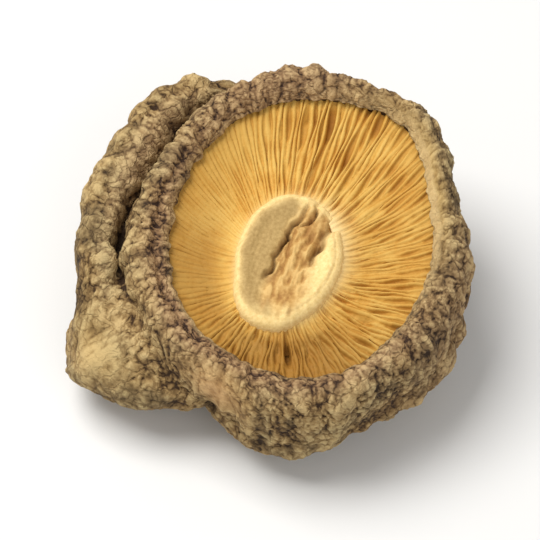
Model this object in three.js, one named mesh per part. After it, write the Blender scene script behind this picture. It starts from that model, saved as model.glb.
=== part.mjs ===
// A dried shiitake mushroom lying on the crown of its cap, gills up: a thick leathery cap whose margin
// has rolled in over the edge of the gills, a ring of radial gills, and the short stub of a cut stem.
// Millimetres. +Z is up, the origin is on the surface that the cap rests on, in the middle of its box,
// and -Y is the side on which the rolled rim lies lowest. Angles run anticlockwise from +X, seen from above.
import * as THREE from "three";

const TURN = 2 * Math.PI;
const DEGREE = Math.PI / 180;

// Plan sizes, as radii from the middle of the gills.
const GILL_RADIUS = 19.2; // mean radius of the mouth that shows the gills
const GILL_OVAL = 1.1; // the mouth is this much longer than that along Y, and shorter along X
const GILL_CORNER = { at: 44 * DEGREE, width: 22 * DEGREE, out: 2.4 }; // a squarish corner of the mouth
const RIM_RADIUS = 24.1; // mean outer radius of the rolled rim
const RIM_OVAL = 0.88;
const RIM_NEAR = 0.45; // the rim is fuller on the -Y side
const RIM_LEFT = 0.5; // and on the -X side
const NARROW = { at: 135 * DEGREE, width: 26 * DEGREE, mouth: 1.2, rim: 1.9 }; // where mouth and rim are drawn in
const SHOULDER_OUT = 0.5; // how far the cap's widest line stands out past the rim

// On the -X side the cap is folded once more, outside the rim: a ridge with a valley between it and the rim.
const FOLD_RADIUS = 30.4;
const FOLD = { from: 90 * DEGREE, full: 134 * DEGREE, fade: 212 * DEGREE, to: 238 * DEGREE };
const RIDGE = { from: 96 * DEGREE, full: 134 * DEGREE, fade: 180 * DEGREE, to: 206 * DEGREE };
const RIDGE_RISE = 6.6; // how far the ridge lifts the widest line
const VALLEY = { from: 104 * DEGREE, full: 138 * DEGREE, fade: 188 * DEGREE, to: 212 * DEGREE };
const VALLEY_FILL = 1.1; // flesh in the bottom of the valley
const FOLD_THICK = 1.3; // how much fuller the fold is than the plain shoulder
const LOBE = { at: 203 * DEGREE, width: 13 * DEGREE, out: 2.1 }; // where the fold runs out flat
const NOTCH = { at: 241 * DEGREE, width: 11 * DEGREE, rim: 0.8, shoulder: 1.6 }; // where the outline steps in

// Heights above the crown, before the cap's lopsidedness.
const FLOOR_Z = 14.6; // flesh under the gills
const LIP_Z = 20.5; // inner edge of the rolled rim
const CREST_Z = 22.6; // top of the rolled rim
const WIDEST_Z = 10.6; // widest line of the cap
const REST_RADIUS = 6.6; // flat spot on the crown that the mushroom rests on
const GAP = 0.32; // clearance between the three solids

// The cap is lopsided: everything above the crown slopes down towards -Y.
const LEAN = Math.tan(12 * DEGREE);
const LEAN_FROM_Z = 1.5;
const LEAN_FULL_Z = 14.0;
const CROWN_SHIFT = { x: -4.7, y: 2.46 }; // the crown lies under the mushroom's weight
const MIDDLE = { x: -4.01, y: -0.28 }; // middle of the whole outline, which is put over the origin

// Wrinkles of the skin.
const CAP_COLUMNS = 180;
const PLEATS = { waves: 8, fewest: 28, most: 52, slant: 1.6, depth: 0.14, seed: 11 };
const CROWN_FOLDS = { waves: 7, fewest: 9, most: 34, slant: 1.2, depth: 0.17, seed: 5 };
const LUMPS = { waves: 5, fewest: 6, most: 15, slant: 0.9, depth: 0.22, seed: 23 };
const GROOVE = { at: 188 * DEGREE, width: 48 * DEGREE, deep: 0.75 }; // beside the lip, on the -X side

// Gills: whole ones from stem to rim, and a short one between each pair.
const GILLS = 88;
const GILL_THICKNESS = 0.62;
const GILL_FLANK = 0.04; // how far a gill's foot stands out past its edge
const GILL_SPACING = TURN / GILLS;
const GILL_WEB_Z = FLOOR_Z + GAP; // underside of the web that joins the gills
const GILL_ROOT_Z = 15.7; // bottom of the gap between two gills
const SHORT_GILL_FROM = 0.45; // share of the way from stem to rim where the short gills rise
const SHORT_GILL_FULL = 0.62;
const GILL_SWAY = 0.012; // how far the gills bend to either side on their way out, in radians

// Stem stub, an oval set off the middle of the gills, cut short and torn along its core.
const STEM = { x: -1.7, y: -2.9, short: 6.4, long: 8.7, turn: 72 * DEGREE };
const STEM_TOP_Z = 20.6;
const STEM_COLUMNS = 56;
const TEAR = { turn: 68 * DEGREE, x: 1.7, y: -0.45, half: 8.7, width: 2.6, bow: 0.7, depth: 1.3 };

const mix = (a, b, share) => a + (b - a) * share;

function smoothStep(low, high, value) {
  const share = Math.min(1, Math.max(0, (value - low) / (high - low)));
  return share * share * (3 - 2 * share);
}

// A bell around the angle `at`, 1 at its middle.
function bell(t, { at, width }) {
  const away = Math.atan2(Math.sin(t - at), Math.cos(t - at));
  return Math.exp(-((away / width) ** 2));
}

// A seeded random draw, so that the mushroom is the same each time.
function randomFrom(seed) {
  let state = seed;
  return () => {
    state = (state + 0x6d2b79f5) | 0;
    let n = Math.imul(state ^ (state >>> 15), 1 | state);
    n = (n + Math.imul(n ^ (n >>> 7), 61 | n)) ^ n;
    return ((n ^ (n >>> 14)) >>> 0) / 4294967296;
  };
}

// Plan outlines.
const gillEdge = (t) =>
  GILL_RADIUS -
  GILL_OVAL * Math.cos(2 * t) +
  GILL_CORNER.out * bell(t, GILL_CORNER) -
  NARROW.mouth * bell(t, NARROW) +
  0.25 * Math.cos(5 * t + 0.6);

const rimOuter = (t) =>
  RIM_RADIUS -
  RIM_OVAL * Math.cos(2 * t) -
  RIM_NEAR * Math.sin(t) -
  RIM_LEFT * Math.cos(t) +
  0.7 * bell(t, GILL_CORNER) -
  NARROW.rim * bell(t, NARROW) -
  NOTCH.rim * bell(t, NOTCH) +
  0.35 * Math.cos(5 * t + 2.1) +
  0.25 * Math.cos(8 * t + 0.4);

// 1 between two angles, eased in and out.
const sector = (t, { from, full, fade, to }) => {
  const turn = ((t % TURN) + TURN) % TURN;
  return smoothStep(from, full, turn) * (1 - smoothStep(fade, to, turn));
};

const capWidest = (t) =>
  mix(rimOuter(t) + SHOULDER_OUT, FOLD_RADIUS + LOBE.out * bell(t, LOBE), sector(t, FOLD)) -
  NOTCH.shoulder * bell(t, NOTCH) +
  0.4 * Math.cos(3 * t + 1.0);

// The cap's section at angle t, from the inner edge of the rim, over its crest, down past the shoulder to the
// crown, as [radius, height] points that a smooth curve runs through.
function capSection(t) {
  const mouth = gillEdge(t);
  const rim = rimOuter(t);
  const widest = capWidest(t);
  const fold = sector(t, FOLD);
  const ridge = sector(t, RIDGE);
  const full = FOLD_THICK * fold * (1 - ridge);
  const width = rim - mouth;
  return [
    [mouth - 0.5, LIP_Z],
    [mouth + 0.12 * width, CREST_Z - 0.7],
    [mouth + 0.45 * width, CREST_Z],
    [mouth + 0.85 * width, CREST_Z - 1.1],
    [rim + 0.6 * ridge, CREST_Z - 4.0 - 1.2 * ridge],
    [mix(rim - 0.1 + 0.5 * fold * (widest - rim), widest - 3.7, ridge), CREST_Z - 7.0 + full + 4.3 * ridge],
    [widest - 0.3 - 0.7 * fold - 0.7 * ridge, WIDEST_Z + 3.2 + full + RIDGE_RISE * ridge],
    [widest, WIDEST_Z + 0.3 * full + RIDGE_RISE * ridge],
    [widest - 2.3 + 1.3 * ridge, WIDEST_Z - 4.4 + 0.66 * RIDGE_RISE * ridge],
    [(0.73 + 0.05 * ridge) * widest, 2.9 + 0.2 * RIDGE_RISE * ridge],
    [0.49 * widest, 0.85],
    [REST_RADIUS, 0],
  ];
}

// A point on the Catmull-Rom curve through the points, at a parameter that counts them from 0.
function onCurve(points, u) {
  const last = points.length - 1;
  const i = Math.min(last - 1, Math.floor(u));
  const s = u - i;
  const [p0, p1, p2, p3] = [-1, 0, 1, 2].map((step) => points[Math.min(last, Math.max(0, i + step))]);
  return [0, 1].map((axis) => {
    const [a, b, c, d] = [p0[axis], p1[axis], p2[axis], p3[axis]];
    return b + 0.5 * s * (c - a + s * (2 * a - 5 * b + 4 * c - d + s * (3 * (b - c) + d - a)));
  });
}

// Lopsidedness: a share that grows with height lowers the -Y side, and the crown stays level, shifted under
// the weight.
function lopsided(x, y, z) {
  const share = smoothStep(LEAN_FROM_Z, LEAN_FULL_Z, z);
  return new THREE.Vector3(
    x + CROWN_SHIFT.x * (1 - share) - MIDDLE.x,
    y + CROWN_SHIFT.y * (1 - share) - MIDDLE.y,
    z + LEAN * y * share,
  );
}

// A closed solid from rings of points, each ring anticlockwise seen from above. The rings run from a middle
// point on top, outwards, down and back to a middle point below, or close on themselves if there are no poles.
function ringSolid(rings, topPole, bottomPole) {
  const columns = rings[0].length;
  const positions = rings.flat().flatMap((p) => [p.x, p.y, p.z]);
  const faces = [];
  const at = (ring, column) => (ring % rings.length) * columns + (column % columns);
  const strips = topPole ? rings.length - 1 : rings.length;
  for (let ring = 0; ring < strips; ring++) {
    for (let column = 0; column < columns; column++) {
      const [a, b] = [at(ring, column), at(ring + 1, column)];
      const [d, c] = [at(ring, column + 1), at(ring + 1, column + 1)];
      faces.push(a, b, c, a, c, d);
    }
  }
  if (topPole) {
    const top = positions.length / 3;
    const bottom = top + 1;
    positions.push(topPole.x, topPole.y, topPole.z, bottomPole.x, bottomPole.y, bottomPole.z);
    for (let column = 0; column < columns; column++) {
      faces.push(top, at(0, column), at(0, column + 1));
      faces.push(bottom, at(rings.length - 1, column + 1), at(rings.length - 1, column));
    }
  }
  const geometry = new THREE.BufferGeometry();
  geometry.setAttribute("position", new THREE.Float32BufferAttribute(positions, 3));
  geometry.setIndex(faces);
  geometry.computeVertexNormals();
  return geometry;
}

const columnAngles = (columns) => Array.from({ length: columns }, (_, column) => (TURN * column) / columns);

// Wrinkles as a sum of waves round the cap, each with its own number of turns, slant and start.
function wrinkles({ waves, fewest, most, slant, depth, seed }) {
  const random = randomFrom(seed);
  const made = Array.from({ length: waves }, () => ({
    turns: Math.round(mix(fewest, most, random())),
    slant: slant * (2 * random() - 1),
    start: TURN * random(),
  }));
  return (t, u) => {
    const sum = made.reduce((total, wave) => total + Math.cos(wave.turns * t + wave.slant * u + wave.start), 0);
    return (depth * sum) / Math.sqrt(waves / 2);
  };
}

const pleatRelief = wrinkles(PLEATS);
const crownRelief = wrinkles(CROWN_FOLDS);
const lumpRelief = wrinkles(LUMPS);

// How far the skin stands out at angle t and section parameter u: pleats across the rolled rim that fade
// towards the lip, lumps all round the sides, longer, shallower folds that run down to the crown, a groove
// beside the lip with a ridge outside it, and the flesh in the valley with a sharp crease under the rim.
function skinRelief(t, u) {
  const onRim = smoothStep(0.2, 1.6, u) * (1 - 0.6 * smoothStep(6.5, 8.5, u));
  const onSide = smoothStep(1.5, 4, u);
  const aboveCrown = 1 - smoothStep(9.3, 10.7, u);
  const groove = GROOVE.deep * Math.exp(-(((u - 1.25) / 0.55) ** 2));
  const ridge = (GROOVE.deep / 3) * Math.exp(-(((u - 2.6) / 0.7) ** 2));
  const broad = aboveCrown * (onRim * pleatRelief(t, u) + onSide * (lumpRelief(t, u) + crownRelief(t, u)));
  const valley = VALLEY_FILL * Math.exp(-(((u - 4.75) / 0.42) ** 2)) - 0.5 * Math.exp(-(((u - 3.95) / 0.2) ** 2));
  return broad + bell(t, GROOVE) * (ridge - groove) + sector(t, VALLEY) * valley;
}

// Cap: the dish that holds the gills, its wall, then the rolled rim, the shoulder and the crown.
function makeCap() {
  const angles = columnAngles(CAP_COLUMNS);
  const polar = (t, radius, z) => lopsided(radius * Math.cos(t), radius * Math.sin(t), z);
  const skin = (u) =>
    angles.map((t) => {
      const points = capSection(t);
      const last = points.length - 1;
      const [radius, z] = onCurve(points, u);
      const [r0, z0] = onCurve(points, Math.max(0, u - 0.05));
      const [r1, z1] = onCurve(points, Math.min(last, u + 0.05));
      const length = Math.hypot(r1 - r0, z1 - z0);
      const out = skinRelief(t, u) / length;
      return polar(t, radius - (z1 - z0) * out, Math.max(0, z + (r1 - r0) * out));
    });
  const sectionSteps = [0, 0.6, 1.2, 1.9, 2.6, 3.3, 4.0, 4.6, 5.2, 5.9, 6.6, 7.3, 8.2, 9.1, 10.1, 11];
  const dish = [
    angles.map((t) => polar(t, gillEdge(t), FLOOR_Z)),
    angles.map((t) => polar(t, gillEdge(t), LIP_Z - 0.5)),
  ];
  const rings = [...dish, ...sectionSteps.map(skin)];
  return ringSolid(rings, lopsided(0, 0, FLOOR_Z), lopsided(0, 0, 0));
}

// The stem's outline at angle t about its own middle, as a radius.
function stemRadius(t) {
  const { short, long, turn } = STEM;
  return (short * long) / Math.hypot(short * Math.cos(t - turn), long * Math.sin(t - turn)) + 0.2 * Math.cos(3 * t);
}

// A point over the gills: share 0 is beside the stem, share 1 beside the rim.
function overGills(t, share, z) {
  const inner = stemRadius(t) + GAP;
  const outer = gillEdge(t) - GAP;
  const x = mix(STEM.x + inner * Math.cos(t), outer * Math.cos(t), share);
  const y = mix(STEM.y + inner * Math.sin(t), outer * Math.sin(t), share);
  return lopsided(x, y, z);
}

// Height of the gills' free edges, a shallow dish between stem and rim.
const gillTop = (share) => 18.1 + 1.5 * share ** 2.2 + 0.9 * (1 - share) ** 3;

// Half the angle that a gill takes at a share of the way out, where the gills are `reach` from the middle. A short
// gill is only a strip of the web near the stem, where the whole ones leave little room.
function halfGill(gill, share, reach) {
  const full = gill.thickness / 2 / reach;
  const strip = 0.2 * (GILL_SPACING - GILL_THICKNESS / 2 / reach);
  return gill.whole ? full : mix(strip, full, smoothStep(SHORT_GILL_FROM - 0.15, SHORT_GILL_FROM, share));
}

// Gills: one web under a blade for each gill. Each gill is four columns of points: the foot and top of its one
// side, and the top and foot of the other.
function makeGills() {
  const random = randomFrom(7);
  const gills = Array.from({ length: GILLS }, (_, i) => ({
    turn: GILL_SPACING * i,
    stray: 0.22 * (random() - 0.5) * GILL_SPACING,
    whole: i % 2 === 0,
    thickness: GILL_THICKNESS * (1 + 0.05 * (random() - 0.5)),
    rise: 0.35 * (random() - 0.5),
  }));
  const top = [0, 0.15, 0.32, 0.47, 0.62, 0.8, 1].map((share) =>
    gills.flatMap((gill) => {
      const middle = gill.turn + gill.stray * share + GILL_SWAY * Math.sin(5 * share + 3 * Math.sin(2 * gill.turn));
      const reach = mix(stemRadius(middle) + GAP, gillEdge(middle) - GAP, share);
      const half = halfGill(gill, share, reach);
      const flank = GILL_FLANK / reach;
      const up = gill.whole ? 1 : smoothStep(SHORT_GILL_FROM, SHORT_GILL_FULL, share);
      const crest = mix(GILL_ROOT_Z, gillTop(share) + gill.rise * (1 - share ** 4), up);
      return [
        [-half - flank, GILL_ROOT_Z],
        [-half, crest],
        [half, crest],
        [half + flank, GILL_ROOT_Z],
      ].map(([off, z]) => overGills(middle + off, share, z));
    }),
  );
  const webBelow = (ring) => ring.map((p) => new THREE.Vector3(p.x, p.y, GILL_WEB_Z + LEAN * (p.y + MIDDLE.y)));
  return ringSolid([...top, webBelow(top[top.length - 1]), webBelow(top[0])]);
}

// Height of the stem's cut face at a point measured from its middle: a level cut, lower towards +X, with a
// raised edge and a tear, slightly bowed, along its core.
function stemTop(x, y, share) {
  const along = (x - TEAR.x) * Math.cos(TEAR.turn) + (y - TEAR.y) * Math.sin(TEAR.turn);
  const bow = TEAR.bow * (1 - (along / TEAR.half) ** 2);
  const across = (y - TEAR.y) * Math.cos(TEAR.turn) - (x - TEAR.x) * Math.sin(TEAR.turn) - bow;
  const inTear = (1 - smoothStep(0.7, 1.05, Math.abs(along) / TEAR.half)) * Math.exp(-((across / TEAR.width) ** 4));
  const edge = 0.5 * smoothStep(0.55, 0.95, share);
  return STEM_TOP_Z - 0.5 + edge - 0.05 * x - TEAR.depth * inTear;
}

// Stem stub: the cut face from its middle to its edge, then the side, flared where the gills reach it.
function makeStem() {
  const angles = columnAngles(STEM_COLUMNS);
  const ring = (share, height) =>
    angles.map((t) => {
      const [x, y] = [stemRadius(t) * share * Math.cos(t), stemRadius(t) * share * Math.sin(t)];
      return lopsided(STEM.x + x, STEM.y + y, height === undefined ? stemTop(x, y, share) : height);
    });
  const face = [0.18, 0.32, 0.46, 0.6, 0.75, 0.88].map((share) => ring(share));
  const side = [ring(0.97, STEM_TOP_Z - 0.9), ring(0.985, 18.0), ring(1, GILL_WEB_Z)];
  return ringSolid(
    [...face, ...side],
    lopsided(STEM.x, STEM.y, stemTop(0, 0, 0)),
    lopsided(STEM.x, STEM.y, GILL_WEB_Z),
  );
}

const skinMaterial = new THREE.MeshStandardMaterial({ color: 0x8a7250, roughness: 0.85, metalness: 0 });
const gillMaterial = new THREE.MeshStandardMaterial({ color: 0xd09a45, roughness: 0.75, metalness: 0 });
const stemMaterial = new THREE.MeshStandardMaterial({ color: 0xe6c88c, roughness: 0.8, metalness: 0 });

const mushroom = new THREE.Group();
for (const [name, geometry, material] of [
  ["cap", makeCap(), skinMaterial],
  ["gills", makeGills(), gillMaterial],
  ["stem", makeStem(), stemMaterial],
]) {
  const mesh = new THREE.Mesh(geometry, material);
  mesh.name = name;
  mushroom.add(mesh);
}

export default mushroom;
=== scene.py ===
# %% [markdown]
# # A dried shiitake mushroom, gills up
# The solids of the part come in as the frame. Each of them is then replaced by a finer surface of the same
# form, worked out as a grid of points, and a floor, lights and a camera are set round it. Sizes are in
# millimetres until a mesh is made, because a mushroom is a thing of millimetres.

import itertools
import math

import bpy
import numpy as np
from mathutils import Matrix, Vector


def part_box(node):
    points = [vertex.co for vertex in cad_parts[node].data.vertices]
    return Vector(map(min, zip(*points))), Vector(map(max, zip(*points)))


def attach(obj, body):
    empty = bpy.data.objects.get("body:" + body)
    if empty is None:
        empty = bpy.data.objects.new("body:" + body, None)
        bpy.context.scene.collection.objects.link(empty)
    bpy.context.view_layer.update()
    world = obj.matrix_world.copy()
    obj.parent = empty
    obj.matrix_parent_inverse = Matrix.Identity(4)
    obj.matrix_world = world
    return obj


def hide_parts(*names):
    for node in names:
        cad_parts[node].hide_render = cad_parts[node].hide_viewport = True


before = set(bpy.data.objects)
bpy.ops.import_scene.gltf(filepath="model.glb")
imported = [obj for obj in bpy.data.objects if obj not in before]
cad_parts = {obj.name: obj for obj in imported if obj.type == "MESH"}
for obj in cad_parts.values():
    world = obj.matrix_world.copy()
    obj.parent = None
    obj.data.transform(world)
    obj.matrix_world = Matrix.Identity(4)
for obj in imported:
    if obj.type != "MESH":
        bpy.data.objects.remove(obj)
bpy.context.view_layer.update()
MM = 0.001
TURN = 2 * np.pi

# %% [markdown]
# ## The plan of the mushroom
# A shiitake grows out from its stem, so everything is a distance that changes with the angle round the middle
# of the gills. The mouth, the rolled rim and the widest line of the cap are each a circle with a few slow
# waves. At the left the widest line stands far out, because there the cap is folded once more, and beside the
# fold the outline steps in. The same numbers drive the solids, so that the finer surfaces lie where the
# solids are.


# %% Plan outlines
def smooth_step(low, high, value):
    """0 below low, 1 above high, and between them a share s that is eased as s squared times (3 - 2s)."""
    share = np.clip((value - low) / (high - low), 0, 1)
    return share * share * (3 - 2 * share)


def bell(value, middle, width):
    """1 at the middle, falling off as e to the power of minus the squared distance over width."""
    return np.exp(-(((value - middle) / width) ** 2))


def bell_round(t, degrees, width):
    """A bell round the angle given in degrees, for angles t in radians, whichever way round is shorter."""
    away = np.angle(np.exp(1j * (t - np.radians(degrees))))
    return np.exp(-((away / np.radians(width)) ** 2))


def gill_edge(t):
    """Radius of the mouth: 19.2 mm, longer along Y, with a squarish corner at 44 degrees, drawn in at 135."""
    corners = 2.4 * bell_round(t, 44, 22) - 1.2 * bell_round(t, 135, 26)
    return 19.2 - 1.1 * np.cos(2 * t) + corners + 0.25 * np.cos(5 * t + 0.6)


def rim_outer(t):
    """Outer radius of the rolled rim: 24.1 mm, longer along Y, fuller towards -Y and -X, slightly wavy."""
    waves = 0.35 * np.cos(5 * t + 2.1) + 0.25 * np.cos(8 * t + 0.4)
    corners = 0.7 * bell_round(t, 44, 22) - 1.9 * bell_round(t, 135, 26) - 0.8 * bell_round(t, 241, 11)
    return 24.1 - 0.88 * np.cos(2 * t) - 0.45 * np.sin(t) - 0.5 * np.cos(t) + corners + waves


# Where the cap is folded once more, its second ridge, and the valley behind the rim, in degrees.
FOLD = (90, 134, 212, 238)
RIDGE = (96, 134, 180, 206)
VALLEY = (104, 138, 188, 212)


def sector(t, start, full, fade, end):
    """1 between the angles full and fade, in degrees, and 0 outside start and end."""
    turn = np.degrees(t) % 360
    return smooth_step(start, full, turn) * (1 - smooth_step(fade, end, turn))


def cap_widest(t):
    """Radius of the cap's widest line: 0.5 mm past the rim, and 30.4 mm with a lobe where the cap is folded."""
    fold = sector(t, *FOLD)
    folded = 30.4 + 2.1 * bell_round(t, 203, 13)
    plain = rim_outer(t) + 0.5
    return plain + (folded - plain) * fold - 1.6 * bell_round(t, 241, 11) + 0.4 * np.cos(3 * t + 1.0)


print("mouth", gill_edge(np.radians([0, 90])), "rim", rim_outer(np.radians([0, 90])))

# %% [markdown]
# ## The section of the cap
# Cut through the middle, the cap is a thick curl: from the lip beside the gills over the crest of the rim,
# down past the shoulder, and under to the crown. At the left the shoulder rises into a second ridge, with a
# valley between it and the rim. Twelve points that move with the angle carry a smooth curve. A revolve of one
# profile would be too even for a dried thing, so the profile itself changes all the way round. The whole
# mushroom is also lopsided: above the crown every height drops towards -Y.

# %% Section and slope
FLOOR_Z, LIP_Z, CREST_Z, WIDEST_Z = 14.6, 20.5, 22.6, 10.6
REST_RADIUS = 6.6
RIDGE_RISE = 6.6
GAP = 0.32
LEAN = math.tan(math.radians(12))
CROWN_SHIFT = (-4.7, 2.46)
MIDDLE = (-4.01, -0.28)


def cap_section(t):
    """Radius and height of the section's twelve points at each angle, as an array of points, axis, angle.
    Each is a share of the way from the mouth to the rim, or a step from the widest line, and where `ridge` is 1
    the points outside the rim are raised and moved out."""
    mouth, rim, widest = gill_edge(t), rim_outer(t), cap_widest(t)
    fold, ridge = sector(t, *FOLD), sector(t, *RIDGE)
    width = rim - mouth
    outside = rim - 0.1 + 0.5 * fold * (widest - rim)
    full = 1.3 * fold * (1 - ridge)
    level = np.ones_like(t)
    points = [
        (mouth - 0.5, LIP_Z * level),
        (mouth + 0.12 * width, (CREST_Z - 0.7) * level),
        (mouth + 0.45 * width, CREST_Z * level),
        (mouth + 0.85 * width, (CREST_Z - 1.1) * level),
        (rim + 0.6 * ridge, CREST_Z - 4.0 - 1.2 * ridge),
        (outside + (widest - 3.7 - outside) * ridge, CREST_Z - 7.0 + full + 4.3 * ridge),
        (widest - 0.3 - 0.7 * fold - 0.7 * ridge, WIDEST_Z + 3.2 + full + RIDGE_RISE * ridge),
        (widest, WIDEST_Z + 0.3 * full + RIDGE_RISE * ridge),
        (widest - 2.3 + 1.3 * ridge, WIDEST_Z - 4.4 + 0.66 * RIDGE_RISE * ridge),
        ((0.73 + 0.05 * ridge) * widest, 2.9 + 0.2 * RIDGE_RISE * ridge),
        (0.49 * widest, 0.85 * level),
        (REST_RADIUS * level, 0 * level),
    ]
    return np.array(points)


def on_curve(points, u):
    """The smooth curve through the points, at parameters u that count them from 0: between two points it is the
    cubic whose slope at each is half the step between that point's neighbours."""
    last = len(points) - 1
    i = np.clip(np.floor(u).astype(int), 0, last - 1)
    s = (u - i)[:, None, None]
    p0, p1, p2, p3 = (points[np.clip(i + step, 0, last)] for step in (-1, 0, 1, 2))
    curve = p1 + 0.5 * s * (p2 - p0 + s * (2 * p0 - 5 * p1 + 4 * p2 - p3 + s * (3 * (p1 - p2) + p3 - p0)))
    return curve[:, 0], curve[:, 1]


def lopsided(x, y, z):
    """Puts a point in the frame: a share that grows with height slopes it towards -Y, the crown is shifted
    under the weight, and the middle of the whole outline goes over the origin."""
    share = smooth_step(1.5, 14.0, z)
    shifted_x = x + CROWN_SHIFT[0] * (1 - share) - MIDDLE[0]
    shifted_y = y + CROWN_SHIFT[1] * (1 - share) - MIDDLE[1]
    return np.stack([shifted_x, shifted_y, z + LEAN * y * share], axis=-1)


print("the rim slopes", round(math.degrees(math.atan(LEAN))), "degrees")

# %% [markdown]
# ## Random, but the same each time
# Dried skin is wrinkled by chance, yet a scene has to come out the same on each run. Two seeded sources do
# that. A handful of waves with drawn numbers of turns gives the broad pleats, the same as in the solids. A
# lattice of random slopes gives a smooth random value anywhere in space, and its absolute value is a field of
# rounded bumps with sharp creases between them, which is what skin that shrinks over drying flesh looks like.


# %% Waves and bumps
def draws(seed, count):
    """A list of seeded random numbers from 0 to 1, by the same 32-bit mixing as the solids use."""
    mask = 0xFFFFFFFF
    drawn = []
    state = seed
    for _ in range(count):
        state = (state + 0x6D2B79F5) & mask
        n = ((state ^ (state >> 15)) * (1 | state)) & mask
        n = ((n + ((n ^ (n >> 7)) * (61 | n) & mask)) & mask) ^ n
        drawn.append(((n ^ (n >> 14)) & mask) / 4294967296)
    return drawn


def wrinkle_waves(t, u, waves, fewest, most, slant, depth, seed):
    """Sum of cosines of turns times t plus slant times u plus a start, each wave with its own drawn values."""
    drawn = np.array(draws(seed, 3 * waves)).reshape(waves, 3)
    total = 0
    for pick, tilt, start in drawn:
        turns = math.floor(fewest + (most - fewest) * pick + 0.5)
        total = total + np.cos(turns * t + slant * (2 * tilt - 1) * u + TURN * start)
    return depth * total / math.sqrt(waves / 2)


def lattice_noise(points, seed):
    """A smooth random value, about -1 to 1: each corner of a unit lattice has a random slope, and the eight
    slopes round a point are blended by an eased share along each axis."""
    cell = np.floor(points)
    inside = points - cell
    eased = inside**3 * (inside * (inside * 6 - 15) + 10)
    cell = cell.astype(np.int64).astype(np.uint32)
    total = np.zeros(points.shape[:-1])
    for corner in itertools.product((0, 1), repeat=3):
        at = cell + np.array(corner, np.uint32)
        mixed = at[..., 0] * np.uint32(374761393) + at[..., 1] * np.uint32(668265263)
        mixed = mixed + at[..., 2] * np.uint32(2246822519) + np.uint32(seed * 3266489 + 97)
        mixed = (mixed ^ (mixed >> np.uint32(13))) * np.uint32(1274126177)
        mixed = mixed ^ (mixed >> np.uint32(16))
        slopes = [((mixed >> np.uint32(shift)) & np.uint32(1023)) / 511.5 - 1 for shift in (0, 10, 20)]
        rise = sum(slope * (inside[..., axis] - corner[axis]) for axis, slope in enumerate(slopes))
        shares = [eased[..., axis] if corner[axis] else 1 - eased[..., axis] for axis in range(3)]
        total += rise * shares[0] * shares[1] * shares[2]
    return 1.6 * total


def bumps(points, seed):
    """0 in sharp creases, up to 1 on rounded bumps: the noise without its sign, to the power of 0.6."""
    return np.clip(np.abs(lattice_noise(points, seed)) * 1.8, 0, 1) ** 0.6


def warped(points, reach, size, seed):
    """Points pushed about by up to `reach`, over distances of `size`, so that creases wander."""
    pushes = [lattice_noise(points / size, seed + axis) for axis in range(3)]
    return points + reach * np.stack(pushes, axis=-1)


trial = lattice_noise(np.random.default_rng(1).uniform(0, 50, (20000, 3)), 3)
print("noise runs from", trial.min().round(2), "to", trial.max().round(2), "spread", trial.std().round(2))

# %% [markdown]
# ## From a grid of points to a mesh
# Each piece is a closed surface made of rings: from a middle point on top, outwards, down and back to a
# middle point below. If there are no middle points the last ring joins the first. A ring always runs
# anticlockwise seen from above, which makes every face point outwards. Values that a material needs are
# stored on the points.


# %% Mesh from rings
def ring_mesh(name, rings, poles=None, values=None):
    """An object from an array of rings by columns by xyz in millimetres, with optional top and bottom points.
    `values` maps an attribute's name to an array of rings by columns."""
    count, columns = rings.shape[:2]
    here = np.arange(count * columns).reshape(count, columns)
    below = np.roll(here, -1, axis=0)
    strips = count if poles is None else count - 1
    quads = [here, below, np.roll(below, -1, axis=1), np.roll(here, -1, axis=1)]
    faces = np.stack(quads, axis=-1)[:strips].reshape(-1, 4).tolist()
    points = rings.reshape(-1, 3)
    if poles is not None:
        top, bottom = count * columns, count * columns + 1
        first, last = here[0], here[-1]
        faces += np.stack([np.full(columns, top), first, np.roll(first, -1)], axis=-1).tolist()
        faces += np.stack([np.full(columns, bottom), np.roll(last, -1), last], axis=-1).tolist()
        points = np.vstack([points, poles])
    mesh = bpy.data.meshes.new(name)
    mesh.from_pydata((points * MM).tolist(), [], faces)
    mesh.shade_smooth()
    for key, value in (values or {}).items():
        flat = np.broadcast_to(value, (count, columns)).ravel()
        ends = [value[0].mean(), value[-1].mean()] if poles is not None else []
        stored = mesh.attributes.new(key, "FLOAT", "POINT")
        stored.data.foreach_set("value", np.concatenate([flat, ends]).astype(np.float32))
    piece = bpy.data.objects.new(name, mesh)
    bpy.context.collection.objects.link(piece)
    print(name, "has", len(points), "points and", sum(len(f) - 2 for f in faces), "triangles")
    return piece


def outward(surface):
    """Unit normals of a grid of points: the step down the rings crossed with the step along them."""
    down = np.gradient(surface, axis=0)
    along = np.roll(surface, -1, axis=1) - np.roll(surface, 1, axis=1)
    normal = np.cross(down, along)
    return normal / np.maximum(np.linalg.norm(normal, axis=-1, keepdims=True), 1e-9)


def blend(a, b, share):
    """a where the share is 0 and b where it is 1."""
    return a + (b - a) * share


# %% [markdown]
# ## The cap
# The cap is leathery flesh under a brown skin. As it dried, the flesh shrank and the skin didn't, so it is
# gathered: pleats run across the rolled rim, and on the sides and the crown they turn into a net of
# meandering wrinkles. Sculpting them by hand would take days. Here they are bumps in two sizes, read along
# the rim on the top side and in plain space underneath, and pushed in or out along the surface's own
# direction.

# %% The cap's ground form
CAP_COLUMNS = 480
CAP_ROWS = 184
REST_ROWS = 14
angle = np.linspace(0, TURN, CAP_COLUMNS, endpoint=False)
section = cap_section(angle)
u = np.interp(np.linspace(0, 1, CAP_ROWS), [0, 0.31, 0.55, 0.66, 1], [0, 4, 7, 8, 11])
radius, height = on_curve(section, u)
r_before, z_before = on_curve(section, np.maximum(0, u - 0.05))
r_after, z_after = on_curve(section, np.minimum(11, u + 0.05))
step_r, step_z = r_after - r_before, z_after - z_before
step = np.hypot(step_r, step_z)
U = np.broadcast_to(u[:, None], radius.shape)
T = np.broadcast_to(angle, radius.shape)

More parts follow.
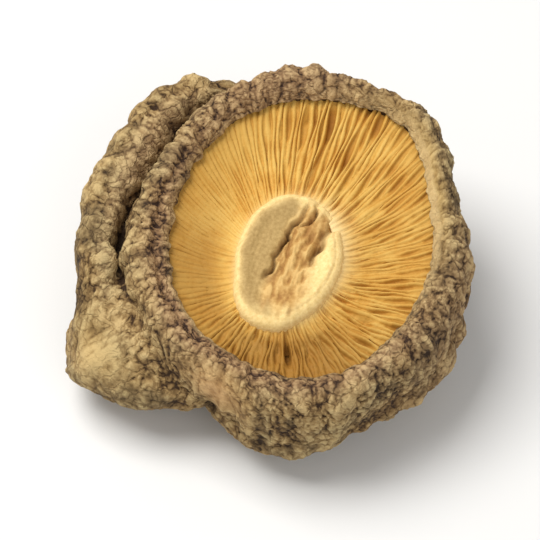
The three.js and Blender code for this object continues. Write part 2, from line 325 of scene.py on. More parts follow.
pleats = wrinkle_waves(T, U, waves=8, fewest=28, most=52, slant=1.6, depth=0.14, seed=11)
crown_folds = wrinkle_waves(T, U, waves=7, fewest=9, most=34, slant=1.2, depth=0.17, seed=5)
lumps = wrinkle_waves(T, U, waves=5, fewest=6, most=15, slant=0.9, depth=0.22, seed=23)
on_rim = smooth_step(0.2, 1.6, U) * (1 - 0.6 * smooth_step(6.5, 8.5, U))
on_side = smooth_step(1.5, 4, U)
above_crown = 1 - smooth_step(9.3, 10.7, U)
broad = above_crown * (on_rim * pleats + on_side * (lumps + crown_folds))

# Left of the gills the rim has a groove beside the lip, with a ridge outside it.
groove = bell_round(T, 188, 48) * bell(U, 1.25, 0.55)
broad = broad - 0.75 * groove + 0.25 * bell_round(T, 188, 48) * bell(U, 2.6, 0.7)

# Behind the rim the fold is filled out, down to a narrow crease.
behind = sector(T, *VALLEY)
broad = broad + behind * (1.1 * bell(U, 4.75, 0.42) - 0.5 * bell(U, 3.95, 0.2))

# The lip is uneven, because the margin dried in small scallops.
lip_place = np.stack([25 * np.cos(T), 25 * np.sin(T), 0 * T], axis=-1)
scallops = 0.4 * lattice_noise(lip_place / 2.6, 25) + 0.25 * lattice_noise(lip_place / 1.2, 26)
radius = radius + scallops * (1 - smooth_step(0.6, 2.4, U))

radius = radius - step_z / step * broad
height = np.maximum(0, height + step_r / step * broad)
skin = lopsided(radius * np.cos(T), radius * np.sin(T), height)
print("pleats stand out by up to", broad.max().round(2), "mm")

# %% [markdown]
# ### Wrinkles on the skin
# Down the section the distance is measured along the surface, so that wrinkles keep their size. On the rim it
# is squeezed, which draws the bumps out into pleats across the rim. A few places are calmer: the pale lip at
# the right, and two smooth tan patches at the lower left, where the skin was stretched instead of gathered.

# %% Wrinkles
travel = np.linalg.norm(np.diff(skin, axis=0), axis=-1).mean(axis=1)
along_skin = np.concatenate([[0], np.cumsum(travel)])[:, None] * np.ones_like(T)
around = np.stack([25 * np.cos(T), 25 * np.sin(T), along_skin * 0.5], axis=-1)
around = warped(warped(around, 1.5, 4.5, 31), 0.5, 1.6, 35)
rim_bumps = 0.6 * bumps(around / 1.35, 41) + 0.4 * bumps(around * [1, 1, 1.6] / 0.7, 42)
spread = warped(warped(skin, 2.6, 7.0, 51), 0.7, 2.0, 55)
crown_bumps = 0.6 * bumps(spread / 1.8, 61) + 0.4 * bumps(spread / 0.85, 62)
relief = blend(rim_bumps, crown_bumps, smooth_step(5.0, 8.2, U))

pale_lip = bell_round(T, 22, 34) * smooth_step(0.0, 0.4, U) * (1 - smooth_step(1.4, 3.0, U + 0.6 * crown_bumps))
brim = bell_round(T, 15, 42) * (1 - smooth_step(0.7, 1.3, U))
brim = brim + 0.7 * bell_round(T, 225, 18) * (1 - smooth_step(0.3, 0.8, U))
# Painted highlight: on two ridges at the left, towards the light, the skin is made paler the higher its bumps
# stand.
ridge_highlight = 0.2 * bell_round(T, 198, 32) * bell(U, 2.5, 0.55)
ridge_highlight = ridge_highlight + 0.35 * bell_round(T, 158, 36) * bell(U, 6.1, 0.5)
tan_patch = bell_round(T, 244, 9) * bell(U, 3.6, 1.1) + 0.8 * bell_round(T, 207, 11) * bell(U, 5.6, 0.9)
calm = 1 - 0.6 * pale_lip - 0.75 * tan_patch
depth = np.interp(u, [0, 0.5, 1.5, 4, 7, 9, 11], [0.05, 0.28, 0.46, 0.6, 0.62, 0.6, 0.45])[:, None] * calm
skin = skin + outward(skin) * (depth * (relief - 0.45))[..., None]
skin[..., 2] = np.maximum(skin[..., 2], 0)
print("wrinkles are up to", depth.max().round(2), "mm deep")

# %% [markdown]
# ### The spot it rests on, and the dish under the gills
# The crown is pressed flat where the mushroom lies, with creases that run on across the flat spot. Above,
# under the gills, the cap is a plain dish: nobody sees it, but it closes the surface.

# %% Close the cap
rest_share = np.linspace(1, 0.04, REST_ROWS + 1)[1:, None]
rest = skin[-1] * [1, 1, 0] + (lopsided(0.0, 0.0, 0.0) - skin[-1]) * [1, 1, 0] * (1 - rest_share)[..., None]
rest_spread = warped(warped(rest, 2.6, 7.0, 51), 0.7, 2.0, 55)
rest_bumps = 0.6 * bumps(rest_spread / 1.8, 61) + 0.4 * bumps(rest_spread / 0.85, 62)
rest[..., 2] = 0.35 * np.clip(0.3 - rest_bumps, 0, 1)

mouth = gill_edge(angle)
mouth_x, mouth_y = mouth * np.cos(angle), mouth * np.sin(angle)
dish = [lopsided(mouth_x, mouth_y, np.full_like(angle, z)) for z in (FLOOR_Z, LIP_Z - 0.5)]
cap_rings = np.concatenate([np.array(dish), skin, rest])
poles = np.array([lopsided(0.0, 0.0, FLOOR_Z), lopsided(0.0, 0.0, 0.0)])


def whole_cap(on_skin, on_rest=0.0, on_dish=0.0):
    """A value over all the cap's rings from its values on the skin, the resting spot and the dish."""
    below = np.broadcast_to(on_rest, rest.shape[:2])
    return np.concatenate([np.full((len(dish), CAP_COLUMNS), on_dish), on_skin, below])


# %% [markdown]
# ### Values for the colour of the skin
# Where the skin is plum, pale, tan or cream belongs to places on the cap, so these are worked out here, where
# the angle and the way down the section are known, and stored on the points. The pale value also carries a
# painted highlight on the ridges at the left, and the relief value a painted shade in the crease behind the
# rim.

# %% Values on the cap
plum = bell_round(T, 190, 62) * bell(U, 1.2, 0.9) + 0.8 * bell_round(T, 95, 38) * (1 - smooth_step(3, 4.5, U))
plum = plum + 0.75 * bell_round(T, 285, 62) * bell(U, 1.5, 0.95)
plum = plum + 0.8 * bell_round(T, 150, 34) * bell(U, 4.5, 0.6)
plum = plum + 0.6 * bell_round(T, 224, 20) * bell(U, 1.5, 1.1)
plum = plum + 0.55 * bell_round(T, 335, 30) * smooth_step(1.6, 3.2, U) * (1 - smooth_step(6, 8, U))
# Painted shade: the crease at the foot of the rim, behind the fold, is darkened through the relief value.
valley_crease_shade = behind * bell(U, 3.97, 0.2)
cap = ring_mesh(
    "cap_skin",
    cap_rings,
    poles,
    {
        "relief": whole_cap(relief + 0.35 * np.clip(broad, -0.6, 0.6) - 0.5 * valley_crease_shade, rest_bumps, 0.2),
        "pale_and_highlight": whole_cap(np.clip(pale_lip + 0.8 * tan_patch + ridge_highlight * relief, 0, 1)),
        "tan": whole_cap(bell_round(T, 242, 9) * bell(U, 3.6, 1.0)),
        "brim": whole_cap(brim),
        "plum": whole_cap(np.clip(plum, 0, 1)),
    },
)

# %% [markdown]
# ## The gills
# The gills are thin blades that hang from the flesh, whole ones from stem to rim with a short one between
# each pair. Dried, they have shrunk and stuck together in bunches, with dark gaps between the bunches, and on
# one side they are pressed shut. Separate sheets would be heavy and would cut through each other. One surface
# does it all: eight columns of points carry each gill's foot, flank and rounded edge, and the floor between
# two gills.

# %% The stem's outline and the ground under the gills
STEM_X, STEM_Y, STEM_SHORT, STEM_LONG = -1.7, -2.9, 6.4, 8.7
STEM_TURN = math.radians(72)
STEM_TOP_Z = 20.6
GILL_WEB_Z = FLOOR_Z + GAP
GILL_ROOT_Z = 15.7


def stem_radius(t):
    """Radius of the stem's oval at angle t about its own middle, with a slight three-cornered wave."""
    along, across = STEM_SHORT * np.cos(t - STEM_TURN), STEM_LONG * np.sin(t - STEM_TURN)
    return STEM_SHORT * STEM_LONG / np.hypot(along, across) + 0.2 * np.cos(3 * t)


def over_gills(t, share, z):
    """A point over the gills, on the straight line from the stem, share 0, to the rim, share 1."""
    inner, outer = stem_radius(t) - 0.1, gill_edge(t) + 0.15
    x = blend(STEM_X + inner * np.cos(t), outer * np.cos(t), share)
    y = blend(STEM_Y + inner * np.sin(t), outer * np.sin(t), share)
    return lopsided(x, y, z)


def gill_top(share):
    """Height of the free edges: a shallow dish, with a flare up to the stem."""
    return 18.1 + 1.9 * share**2.2 + 0.9 * (1 - share) ** 3 + 0.4 * bell(share, 0, 0.09)


print("the stem is", stem_radius(np.radians([-18, 72])).round(1), "mm from its middle to its edges")

# %% Where each gill runs
GILLS = 136
GILL_RINGS = 86
SLOT = TURN / GILLS
gill = np.arange(GILLS)
rng = np.random.default_rng(18)
start = np.where(gill % 2 == 0, -1.0, rng.uniform(0.1, 0.55, GILLS))
thickness = rng.uniform(0.54, 0.7, GILLS)
rise = rng.uniform(-0.16, 0.16, GILLS)
base_turn = SLOT * (gill + rng.uniform(-0.14, 0.14, GILLS))
S = np.linspace(0, 1, GILL_RINGS)[:, None]
shut = np.clip(1.15 * bell_round(base_turn, 172, 62), 0, 1)
parted = bell_round(base_turn, 76, 28) + 0.6 * bell_round(base_turn, -60, 26)
bunching = (0.3 + 0.7 * parted) * (1 - shut) * bell(S, 0.62, 0.42)
bunch_phase = 31 * base_turn + 1.9 * np.sin(3 * base_turn + 0.7) + 1.3 * np.sin(7 * base_turn + 2.0)
sway = 0.01 * np.sin(5 * S + 3 * np.sin(2 * base_turn))
sway = sway + 0.009 * np.sin(12 * S + 40 * base_turn) * (1 - 0.7 * shut)
middle = base_turn + sway * smooth_step(0, 0.25, S) + 0.5 / 31 * bunching * np.sin(bunch_phase)
print(GILLS, "gills, of which", int((start < 0).sum()), "reach the stem")

# %% Heights and gaps of the gills
to_next = np.roll(middle, -1, axis=1) - middle + np.where(gill == GILLS - 1, TURN, 0)
to_last = np.roll(to_next, 1, axis=1)
risen = np.where(start < 0, 1, smooth_step(start, start + 0.13, S))
near_risen = 0.5 * (np.roll(risen, 1, axis=1) + np.roll(risen, -1, axis=1))
reach = blend(stem_radius(middle), gill_edge(middle), S)
room = np.minimum(to_next, to_last)
wanted = thickness / 2 / reach * (1 + 0.9 * shut)
half = np.minimum(wanted, room * (0.46 + 0.02 * shut))
half = half * blend(0.12, 1, risen)
half = np.where(start < 0, np.minimum(half + 0.2 * SLOT * (1 - near_risen), room * 0.8), half)

edge_place = np.stack(np.broadcast_arrays(S * 14.0, gill * 7.3, 0.0), axis=-1)
ragged = 0.11 * lattice_noise(edge_place * [1.3, 1, 1] + 0.5, 71)
ragged = ragged + 0.14 * lattice_noise(edge_place * [0.3, 1, 1] + 0.5, 72)
level_right = bell_round(base_turn, 12, 36)
crest = gill_top(S) + (rise + ragged) * smooth_step(0.02, 0.2, S) * (1 - 0.7 * shut) * (1 - 0.4 * level_right)
opening = smooth_step(0.03, 0.2, S) * (1 - 0.9 * shut) * (1 - 0.6 * level_right)
stretch = np.clip(0.75 + 1.1 * lattice_noise(edge_place * [0.22, 0.5, 1] + 3.5, 73), 0.2, 1.5)
gap_next = 0.08 + opening * stretch * (0.17 + 0.16 * parted + 1.25 * np.clip(to_next / SLOT - 1, 0, 0.6))
floor_next = np.maximum(np.minimum(crest, np.roll(crest, -1, axis=1)) - gap_next, GILL_ROOT_Z)
floor_last = np.roll(floor_next, 1, axis=1)
sunk = np.minimum(floor_next, floor_last)
crest = blend(sunk - 0.02, crest, risen)
print("gaps are up to", gap_next.max().round(2), "mm deep")

# %% [markdown]
# ### Eight columns for each gill
# Across a gill the points go: floor of the gap, shoulder, three over the rounded edge, shoulder, floor. The
# edge leans a little to one side or the other. A slit at the near side, where two gills have split apart, is
# made by pushing the points away from a line.

# %% The gills' surface
offsets = np.array([-1, -1, -0.66, -0.2, 0.25, 0.68, 1, 1])
flanks = np.array([-1, 0, 0, 0, 0, 0, 0, 1])
drops = np.array([1, 0.7, 0.2, 0, 0.02, 0.26, 0.75, 1])
flank = np.minimum(0.05 / reach, 0.1 * room)
leaning = 0.3 * np.sin(4 * S + 2.4 * gill) * half * (1 - np.abs(offsets[:, None, None])).clip(0, 1)
turns = middle + offsets[:, None, None] * half + flanks[:, None, None] * flank + leaning
foot = np.stack([floor_last] + [np.minimum(floor_last, floor_next)] * 6 + [floor_next])
tops = crest - drops[:, None, None] * np.minimum(0.9, np.maximum(crest - sunk, 0.01))
heights = np.where(drops[:, None, None] == 1, foot, np.maximum(tops, foot))
turns = np.moveaxis(turns, 0, -1).reshape(GILL_RINGS, -1)
heights = np.moveaxis(heights, 0, -1).reshape(GILL_RINGS, -1)

SLIT_AT = math.radians(-93)
slit_away = np.angle(np.exp(1j * (turns - SLIT_AT)))
slit = bell(S, 0.45, 0.2)
turns = turns + 0.02 * slit * np.sign(slit_away) * np.exp(-np.abs(slit_away) / 0.1)
heights = heights - 1.9 * slit * bell(slit_away, 0, 0.014)
heights = np.maximum(heights, GILL_ROOT_Z)
upper = over_gills(turns, S, heights)


def web_below(ring):
    """The points of a ring, dropped to the underside of the web that joins the gills."""
    return ring * [1, 1, 0] + (GILL_WEB_Z + LEAN * (ring[:, 1:2] + MIDDLE[1])) * [0, 0, 1]


gill_rings = np.concatenate([upper, [web_below(upper[-1]), web_below(upper[0])]])
# Painted shade: 1 on a gill's crest and falling to 0 down its flanks into the gap; the material darkens the
# gaps with it.
local_top = np.repeat(np.maximum(crest, sunk), 8, axis=1)
crest_to_gap_shade = 1 - np.clip((local_top - heights) / 1.5, 0, 1)
cream = np.clip(0.9 * bell(S, 0, 0.09) + 0.3 * bell_round(turns, 20, 60) * bell(S, 0.1, 0.12), 0, 1)
haze = bell_round(turns, 128, 32) * bell(S, 0.85, 0.4)
haze = haze + 0.6 * bell_round(turns, 25, 34) * smooth_step(0.7, 1, S)
haze = haze + 0.8 * bell_round(turns, 222, 16) * smooth_step(0.75, 1, S)
shade = 0.8 * bell_round(turns, 188, 44) * smooth_step(0.1, 0.5, S)
shade = shade + 1.2 * bell_round(turns, 268, 38) * smooth_step(0.0, 0.4, S)
shade = np.clip(shade + 0.22 * bell_round(turns, 10, 50), 0, 1)


def whole_gills(on_top):
    """A value over all the gills' rings: its values on top, and those of the two end rings on the web below."""
    return np.concatenate([on_top, on_top[-1:], on_top[:1]])


gills = ring_mesh(
    "gills_golden",
    gill_rings,
    values={
        "crest_to_gap_shade": whole_gills(crest_to_gap_shade),
        "cream": whole_gills(cream),
        "haze": whole_gills(np.clip(haze, 0, 1)),
        "shade": whole_gills(shade),
    },
)

# %% [markdown]
# ## The stem stub
# The stem was snapped and trimmed short. Its cut face is an oval with a firm cream wall, a grey-tan facet
# where the knife went through at the left, and a torn core that runs nearly its whole length, with fibres
# between two crevices. The face is a height over a disc of points: a level cut, plus each of these as a term
# of its own.

# %% The height of the cut face
TEAR_TURN = math.radians(68)
TEAR_X, TEAR_Y = 1.7, -0.45
TEAR_HALF = 8.7


def stem_face(x, y, share):
    """Height of the cut face above its level at a point measured from the stem's middle, then three shares
    from 0 to 1: torn, deep in a crevice, and high on a fibre. The tear is a slightly bowed channel along a
    slant, with a crevice down either side and fibres along it."""
    along = (x - TEAR_X) * math.cos(TEAR_TURN) + (y - TEAR_Y) * math.sin(TEAR_TURN)
    across = (y - TEAR_Y) * math.cos(TEAR_TURN) - (x - TEAR_X) * math.sin(TEAR_TURN)
    across = across - 0.7 * (1 - (along / TEAR_HALF) ** 2)
    place = np.stack(np.broadcast_arrays(along, across, 0.3), axis=-1)
    across = across + 0.5 * lattice_noise(place * [0.55, 0.15, 1], 81)
    across = across + 0.16 * lattice_noise(place * [1.7, 0.6, 1], 82)
    frayed = np.abs(along + 1.1 * lattice_noise(place * [0.2, 1.3, 1], 86)) / TEAR_HALF
    in_length = 1 - smooth_step(0.68, 1.05, frayed)
    torn = in_length * np.exp(-((across / 2.8) ** 6))
    uneven = 0.75 + 0.5 * lattice_noise(place * [0.45, 0.1, 1], 87)
    left_length = smooth_step(8.4, 6.6, along) * smooth_step(-4.8, -2.6, along)
    left_crevice = in_length * left_length * bell(across, 2.5 - 0.1 * along, 0.3) * uneven
    right_crevice = in_length * smooth_step(-0.8, 1.6, along) * bell(across, -2.3, 0.45) * uneven
    split = bell(across, 0.6 + 0.5 * np.sin(1.6 * along), 0.2) * bell(along, 6.6, 2.0)
    crevice = np.clip(left_crevice + right_crevice + 0.8 * split, 0, 1)
    fibres = 0.65 * lattice_noise(place * [0.45, 1.05, 1], 83) + 0.35 * lattice_noise(place * [0.9, 2.3, 1], 84)
    cut_marks = 0.07 * lattice_noise(place * [0.5, 2.0, 1] + 9.5, 85)
    wall = 0.4 * smooth_step(0.66, 0.88, share) - 0.3 * smooth_step(0.88, 1.0, share) ** 2
    facet = 0.09 * np.minimum(x, 0) - 0.05 * np.maximum(x, 0)
    bowed = 0.5 + 0.35 * (across / 2.8) ** 2
    shallower = 0.45 + 0.55 * smooth_step(-5.5, -1.0, along)
    height = wall + facet + cut_marks - torn * shallower * (bowed - 0.7 * fibres) - 1.35 * crevice
    return height, torn, crevice, np.clip(0.5 + fibres, 0, 1)


print("level at the stem's middle", stem_face(np.zeros(1), np.zeros(1), np.zeros(1))[0].round(2), "mm")

# %% [markdown]
# ### The stub's rings
# Rings of points from the middle of the face to its edge carry the height. A few more lead down the side,
# which flares out a little where the gills run onto it. The outline wanders, as a cut through fibres does.

# %% The stem's surface
STEM_COLUMNS = 224
FACE_RINGS = 84
stem_angle = np.linspace(0, TURN, STEM_COLUMNS, endpoint=False)
rim_place = np.stack([2.2 * np.cos(stem_angle), 2.2 * np.sin(stem_angle), 0 * stem_angle], axis=-1)
wander = 0.035 * lattice_noise(rim_place, 89) + 0.012 * lattice_noise(4 * rim_place, 90)
outline = stem_radius(stem_angle) * (1 + wander)
face_share = np.linspace(0.02, 1, FACE_RINGS)[:, None]
face_x, face_y = face_share * outline * np.cos(stem_angle), face_share * outline * np.sin(stem_angle)
face_z, torn, crevice, fibre_light_and_shade = stem_face(face_x, face_y, face_share)
level = STEM_TOP_Z - 0.35
face = lopsided(STEM_X + face_x, STEM_Y + face_y, level + face_z)
side = [
    lopsided(STEM_X + face_x[-1] * out, STEM_Y + face_y[-1] * out, blend(level + face_z[-1], GILL_WEB_Z, down))
    for out, down in ((1.03, 0.02), (1.065, 0.06), (1.1, 0.11), (1.13, 0.22), (1.13, 1.0))
]
stem_rings = np.concatenate([face, side])
middle_z = stem_face(np.zeros(1), np.zeros(1), np.zeros(1))[0][0]
stem_poles = np.array([lopsided(STEM_X, STEM_Y, level + middle_z), lopsided(STEM_X, STEM_Y, GILL_WEB_Z)])


def whole_stem(on_face):
    """A value over all the stem's rings, with nothing on its side."""
    return np.concatenate([on_face, np.zeros((len(side), STEM_COLUMNS))])


knife_edge = face_share + 0.07 * lattice_noise(np.stack([face_x / 2, face_y / 2, 0 * face_x], axis=-1), 88)
knife = smooth_step(0.0, 1.0, (0.9 - face_x + 0.25 * face_y) / 2.2) * (1 - smooth_step(0.86, 1.1, knife_edge))
lower = bell(face_x, 0.2, 2.8) * bell(face_y, -4.9, 2.2) * (1 - smooth_step(0.76, 0.95, face_share))
stem = ring_mesh(
    "stem_stub",
    stem_rings,
    stem_poles,
    {
        "torn": whole_stem(torn),
        "fibre_light_and_shade": whole_stem(fibre_light_and_shade),
        "crevice": whole_stem(np.clip(crevice, 0, 1)),
        "knife": whole_stem(np.clip((knife + lower) * (1 - torn), 0, 1)),
    },
)

# %% [markdown]
# ## Finishes
# Colour on a dried mushroom follows its form: creases are darker and ridges paler, partly in the skin's own
# tone and partly as painted shade in the creases and painted highlight on the ridges. So each material reads
# the values that were stored with the form, and adds what is too small to be geometry in Object coordinates:
# fine grain, and on the skin a net of thin creases, darkened with painted shade. A picture of mushroom skin
# would do for one view only, and would show its edges.


# %% Helpers for materials
def new_material(name):
    """An empty node material, its shader, and its node tree."""
    material = bpy.data.materials.new(name)
    material.use_nodes = True
    return material, material.node_tree.nodes["Principled BSDF"], material.node_tree


def stored_value(tree, name):
    """Socket with the value that was stored on the piece's points under this name."""
    node = tree.nodes.new("ShaderNodeAttribute")
    node.attribute_name = name
    return node.outputs["Fac"]


def grain(tree, size, detail=4.0, stretch=(1, 1, 1)):
    """Socket with a fine random pattern in Object coordinates, with features of about `size` millimetres."""
    place = tree.nodes.new("ShaderNodeTexCoord")
    mapping = tree.nodes.new("ShaderNodeMapping")
    mapping.inputs["Scale"].default_value = [value / (size * MM) for value in stretch]
    noise = tree.nodes.new("ShaderNodeTexNoise")
    noise.inputs["Scale"].default_value = 1.0
    noise.inputs["Detail"].default_value = detail
    noise.inputs["Roughness"].default_value = 0.6
    tree.links.new(place.outputs["Object"], mapping.inputs["Vector"])
    tree.links.new(mapping.outputs["Vector"], noise.inputs["Vector"])
    return noise.outputs["Fac"]


def crease_net(tree, size, wander, width):
    """Socket that is 0 along a net of thin, wandering creases and 1 between them. The net is the borders of
    random cells of about `size` millimetres, and the creases are `width` of that wide."""
    place = tree.nodes.new("ShaderNodeTexCoord")
    mapping = tree.nodes.new("ShaderNodeMapping")
    mapping.inputs["Scale"].default_value = [1 / (size * MM)] * 3
    push = tree.nodes.new("ShaderNodeTexNoise")
    push.inputs["Scale"].default_value = 1.1
    push.inputs["Detail"].default_value = 2
    pushed = tree.nodes.new("ShaderNodeVectorMath")
    pushed.operation = "MULTIPLY_ADD"
    pushed.inputs[1].default_value = [wander] * 3
    border = tree.nodes.new("ShaderNodeTexVoronoi")
    border.feature = "DISTANCE_TO_EDGE"
    border.inputs["Scale"].default_value = 1.0
    tree.links.new(place.outputs["Object"], mapping.inputs["Vector"])
    tree.links.new(mapping.outputs["Vector"], push.inputs["Vector"])
    tree.links.new(push.outputs["Color"], pushed.inputs[0])
    tree.links.new(mapping.outputs["Vector"], pushed.inputs[2])
    tree.links.new(pushed.outputs["Vector"], border.inputs["Vector"])
    return calculate(tree, "DIVIDE", border.outputs["Distance"], width, clamp=True)


def ramp(tree, value, stops):
    """Socket with the colour that the stops, pairs of place and colour, have where the value is."""
    node = tree.nodes.new("ShaderNodeValToRGB")
    elements = node.color_ramp.elements
    while len(elements) < len(stops):
        elements.new(0.5)
    for element, (place, colour) in zip(elements, stops):
        element.position = place
        element.color = (*colour, 1)
    tree.links.new(value, node.inputs["Fac"])
    return node.outputs["Color"]


def tint(tree, below, above, share):
    """Socket with the colour `below` where the share is 0 and `above`, a socket or a colour, where it is 1."""
    node = tree.nodes.new("ShaderNodeMix")
    node.data_type = "RGBA"
    tree.links.new(share, node.inputs["Factor"])
    tree.links.new(below, node.inputs["A"])
    if isinstance(above, tuple):
        node.inputs["B"].default_value = (*above, 1)
    else:
        tree.links.new(above, node.inputs["B"])
    return node.outputs["Result"]


def calculate(tree, operation, a, b, clamp=False):
    """Socket with a sum, a product or another operation on two sockets or numbers."""
    node = tree.nodes.new("ShaderNodeMath")
    node.operation = operation
    node.use_clamp = clamp
    for socket, value in zip(node.inputs, (a, b)):
        if isinstance(value, (int, float)):
            socket.default_value = value
        else:
            tree.links.new(value, socket)
    return node.outputs["Value"]


def times(tree, value, amount):
    """Socket with the value times an amount, a number or a socket."""
    return calculate(tree, "MULTIPLY", value, amount)


def around_middle(tree, pattern, middle, amount):
    """Socket with the pattern less its middle, times an amount."""
    return times(tree, calculate(tree, "SUBTRACT", pattern, middle), amount)


def roughen(tree, shader, height, depth, strength):
    """Bumps the shader's surface by a height socket that stands for `depth` millimetres."""
    node = tree.nodes.new("ShaderNodeBump")
    node.inputs["Strength"].default_value = strength
    node.inputs["Distance"].default_value = depth * MM
    tree.links.new(height, node.inputs["Height"])
    tree.links.new(node.outputs["Normal"], shader.inputs["Normal"])


def srgb(red, green, blue):
    """The linear colour of an on-screen colour given as 0 to 255 values."""
    return tuple((value / 255) ** 2.2 for value in (red, green, blue))


# %% Skin
skin_material, shader, tree = new_material("wrinkled_brown_skin")
relief_tone_and_shade = stored_value(tree, "relief")
patches = grain(tree, 6.5, detail=3)
speckle = grain(tree, 0.7, detail=5)
fine = grain(tree, 0.28, detail=4)
coarse_net = crease_net(tree, 1.9, 1.5, 0.13)
fine_net = crease_net(tree, 0.9, 1.2, 0.2)
net = calculate(tree, "ADD", times(tree, coarse_net, 0.7), times(tree, fine_net, 0.3))
net_shade_and_depth = times(tree, calculate(tree, "SUBTRACT", 1.0, stored_value(tree, "pale_and_highlight")), 0.3)
net_shade_and_depth = calculate(tree, "ADD", net_shade_and_depth, 0.08)
# Painted shade and highlight: the colour is darkest in the creases and palest on the bumps, partly the skin's
# own tone and partly how light falls; the net of thin creases darkens it as painted shade.
tone_and_crease_shade = calculate(tree, "ADD", relief_tone_and_shade, around_middle(tree, speckle, 0.5, 0.5))
tone_and_crease_shade = calculate(tree, "ADD", tone_and_crease_shade, around_middle(tree, net, 0.84, net_shade_and_depth))
warm = ramp(
    tree,
    tone_and_crease_shade,
    [
        (0.08, srgb(57, 40, 24)),
        (0.3, srgb(107, 82, 50)),
        (0.54, srgb(150, 122, 79)),
        (0.92, srgb(192, 164, 114)),
    ],
)
cool = ramp(
    tree,
    tone_and_crease_shade,
    [
        (0.08, srgb(54, 41, 27)),
        (0.32, srgb(101, 82, 54)),
        (0.58, srgb(132, 110, 75)),
        (0.92, srgb(178, 156, 110)),
    ],
)
colour = tint(tree, warm, cool, ramp(tree, patches, [(0.42, (0, 0, 0)), (0.58, (1, 1, 1))]))
plum_stops = [(0.08, srgb(56, 38, 28)), (0.4, srgb(132, 101, 70)), (0.9, srgb(188, 155, 112))]
plum_colour = ramp(tree, tone_and_crease_shade, plum_stops)
colour = tint(tree, colour, plum_colour, stored_value(tree, "plum"))
pale_stops = [(0.0, srgb(104, 76, 42)), (0.35, srgb(156, 127, 77)), (0.9, srgb(196, 166, 110))]
pale_colour = ramp(tree, tone_and_crease_shade, pale_stops)
colour = tint(tree, colour, pale_colour, stored_value(tree, "pale_and_highlight"))
tan_stops = [(0.0, srgb(120, 86, 52)), (0.35, srgb(170, 130, 84)), (0.9, srgb(202, 161, 110))]
tan_colour = ramp(tree, tone_and_crease_shade, tan_stops)
colour = tint(tree, colour, tan_colour, stored_value(tree, "tan"))
colour = tint(tree, colour, srgb(214, 186, 134), times(tree, stored_value(tree, "brim"), 0.55))
tree.links.new(colour, shader.inputs["Base Color"])
shader.inputs["Roughness"].default_value = 0.82
shader.inputs["Specular IOR Level"].default_value = 0.3
skin_height = calculate(tree, "ADD", times(tree, speckle, 0.5), times(tree, fine, 0.3))
skin_height = calculate(tree, "ADD", skin_height, times(tree, net, times(tree, net_shade_and_depth, 1.5)))
roughen(tree, shader, skin_height, 0.35, 0.9)
cap.data.materials.append(skin_material)
print("the skin's material has", len(tree.nodes), "nodes")

# %% Gills
gill_material, shader, tree = new_material("golden_gill_edges")
crest_to_gap_shade_value = stored_value(tree, "crest_to_gap_shade")
fuzz = grain(tree, 0.35, detail=4)
blotches = grain(tree, 5.0, detail=3)
# Painted shade and highlight: the colour is darkest down in the gaps between the gills and lightest on their
# crests.
shaded = calculate(tree, "ADD", crest_to_gap_shade_value, around_middle(tree, fuzz, 0.5, 0.35))
golden = ramp(
    tree,
    shaded,
    [
        (0.0, srgb(140, 88, 24)),
        (0.4, srgb(176, 124, 46)),
        (0.8, srgb(200, 152, 68)),
        (1.0, srgb(216, 174, 90)),
    ],
)
orange = ramp(
    tree,
    shaded,
    [
        (0.0, srgb(130, 78, 20)),
        (0.4, srgb(164, 108, 36)),
        (0.85, srgb(188, 134, 52)),
        (1.0, srgb(204, 154, 70)),
    ],
)
colour = tint(tree, golden, orange, ramp(tree, blotches, [(0.4, (0, 0, 0)), (0.62, (1, 1, 1))]))
colour = tint(tree, colour, srgb(190, 146, 68), times(tree, stored_value(tree, "haze"), 0.75))
colour = tint(tree, colour, srgb(146, 102, 40), times(tree, stored_value(tree, "shade"), 0.85))
colour = tint(tree, colour, srgb(232, 202, 142), stored_value(tree, "cream"))
tree.links.new(colour, shader.inputs["Base Color"])
shader.inputs["Roughness"].default_value = 0.7
shader.inputs["Specular IOR Level"].default_value = 0.3
roughen(tree, shader, fuzz, 0.12, 0.6)
gills.data.materials.append(gill_material)
print("the gills' material has", len(tree.nodes), "nodes")

# %% Stem
stem_material, shader, tree = new_material("fibrous_cream_flesh")
fibre = grain(tree, 0.5, detail=4)
cream_colour = ramp(tree, fibre, [(0.3, srgb(220, 186, 118)), (0.7, srgb(246, 216, 150))])
knife_colour = ramp(tree, fibre, [(0.3, srgb(154, 124, 74)), (0.7, srgb(182, 151, 96))])
# Painted light and shade over the torn flesh's own tan: lighter on the fibres' tops and darker between them.
fibre_shade_and_grain = calculate(tree, "ADD", stored_value(tree, "fibre_light_and_shade"), calculate(tree, "SUBTRACT", fibre, 0.5))
torn_stops = [(0.15, srgb(154, 110, 58)), (0.5, srgb(184, 141, 80)), (0.85, srgb(208, 169, 105))]
torn_colour = ramp(tree, fibre_shade_and_grain, torn_stops)
colour = tint(tree, cream_colour, knife_colour, stored_value(tree, "knife"))
colour = tint(tree, colour, torn_colour, stored_value(tree, "torn"))
# Painted shade: the crevices of the torn core are darkened.
colour = tint(tree, colour, srgb(92, 58, 26), times(tree, stored_value(tree, "crevice"), 0.9))
tree.links.new(colour, shader.inputs["Base Color"])
shader.inputs["Roughness"].default_value = 0.75
shader.inputs["Specular IOR Level"].default_value = 0.3
roughen(tree, shader, fibre, 0.15, 0.5)
stem.data.materials.append(stem_material)
print("the stem's material has", len(tree.nodes), "nodes")

# %% [markdown]
# ## Fixing the pieces to the part
# Each surface stands for one solid of the frame and moves with its only body.

# %% Pieces and bodies
for piece, node, finish in ((cap, "cap", "skin"), (gills, "gills", "gills"), (stem, "stem", "stem")):
    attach(piece, "root")
    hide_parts(node)
    lowest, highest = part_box(node)
    print(node, "is", [round(1000 * size, 1) for size in highest - lowest], "mm as a solid")

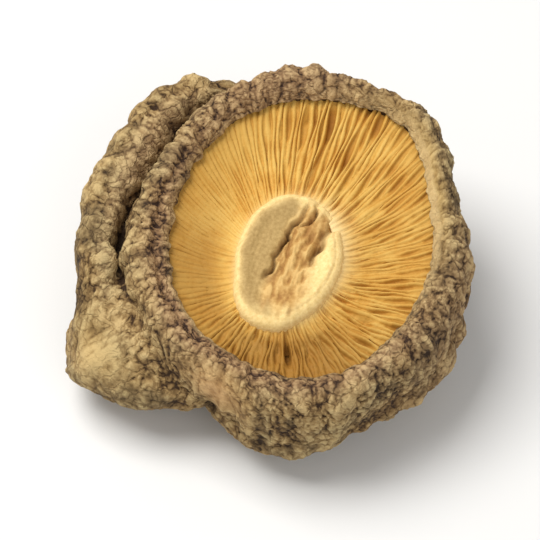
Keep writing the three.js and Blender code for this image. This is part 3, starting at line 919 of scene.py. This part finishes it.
# %% [markdown]
# ## Floor, light and camera
# The mushroom lies on a plain pale floor under soft studio light from the upper left. The camera looks down
# on it as in the photograph, from far off with a long lens, so that the far rim isn't made small.

# %% Floor
FLOOR_SIZE = 1.2
bpy.ops.mesh.primitive_plane_add(size=FLOOR_SIZE)
floor = bpy.context.object
floor.name = "floor"
floor_material, shader, tree = new_material("pale_floor")
shader.inputs["Base Color"].default_value = (0.74, 0.73, 0.71, 1)
shader.inputs["Roughness"].default_value = 0.7
floor.data.materials.append(floor_material)
print("the floor is", FLOOR_SIZE, "m wide")


# %% Light
def soft_light(name, place, size, power, aim=(0, 0, 0.015)):
    """A square lamp of the given size in metres, placed and aimed at the mushroom."""
    lamp = bpy.data.lights.new(name, "AREA")
    lamp.size = size
    lamp.energy = power
    holder = bpy.data.objects.new(name, lamp)
    holder.location = place
    holder.rotation_euler = (Vector(aim) - Vector(place)).to_track_quat("-Z", "Y").to_euler()
    bpy.context.collection.objects.link(holder)


soft_light("key", (-0.22, 0.1, 0.5), 0.34, 3.4)
soft_light("fill", (0.3, -0.5, 0.45), 0.6, 1.5)
world = bpy.data.worlds.new("studio")
world.use_nodes = True
world.node_tree.nodes["Background"].inputs["Color"].default_value = (1, 1, 1, 1)
world.node_tree.nodes["Background"].inputs["Strength"].default_value = 0.4
bpy.context.scene.world = world
bpy.context.scene.view_settings.view_transform = "Standard"

# %% Camera
CAMERA_ELEVATION = math.radians(56)
LENS = 180.0
SENSOR = 36.0
WIDTH_IN_VIEW = 0.074
target = Vector((0, 0, 0.0125))
distance = WIDTH_IN_VIEW * LENS / SENSOR
camera_data = bpy.data.cameras.new("camera")
camera_data.lens = LENS
camera_data.sensor_width = SENSOR
camera_data.clip_start = 0.01
camera = bpy.data.objects.new("camera", camera_data)
camera.location = target + distance * Vector((0, -math.cos(CAMERA_ELEVATION), math.sin(CAMERA_ELEVATION)))
camera.rotation_euler = (math.pi / 2 - CAMERA_ELEVATION, 0, 0)
bpy.context.collection.objects.link(camera)
bpy.context.scene.camera = camera
print("the camera is", round(distance, 3), "m away")
